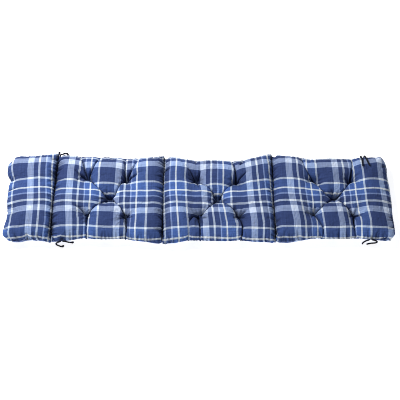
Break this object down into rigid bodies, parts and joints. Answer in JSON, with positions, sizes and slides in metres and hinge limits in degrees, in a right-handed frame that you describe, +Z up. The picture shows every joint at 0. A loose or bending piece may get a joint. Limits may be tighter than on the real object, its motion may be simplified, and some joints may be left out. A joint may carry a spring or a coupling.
{
  "type": "sun lounger cushion",
  "caption": "Long tufted lounger cushion in four hinged sections, lying flat, with pairs of cord ties at its long edges.",
  "frame": {"origin": "centre of the cushion's underside, on the floor", "axes": "+X along the cushion from the head end to the foot end, +Y across it, +Z up"},
  "size_m": [1.952, 0.5816, 0.0907],
  "materials": {
    "cover": "woven plaid in indigo, mid blue, pale blue and off-white, matt",
    "tie_cord": "dark navy braided cord, matt"
  },
  "bodies": {
    "root": {"cushion": "cover", "tie_head_near_left": "tie_cord", "tie_head_near_right": "tie_cord", "tie_head_far_left": "tie_cord", "tie_head_far_right": "tie_cord", "tie_foot_near_left": "tie_cord", "tie_foot_near_right": "tie_cord", "tie_foot_far_left": "tie_cord", "tie_foot_far_right": "tie_cord"}
  },
  "joints": []
}
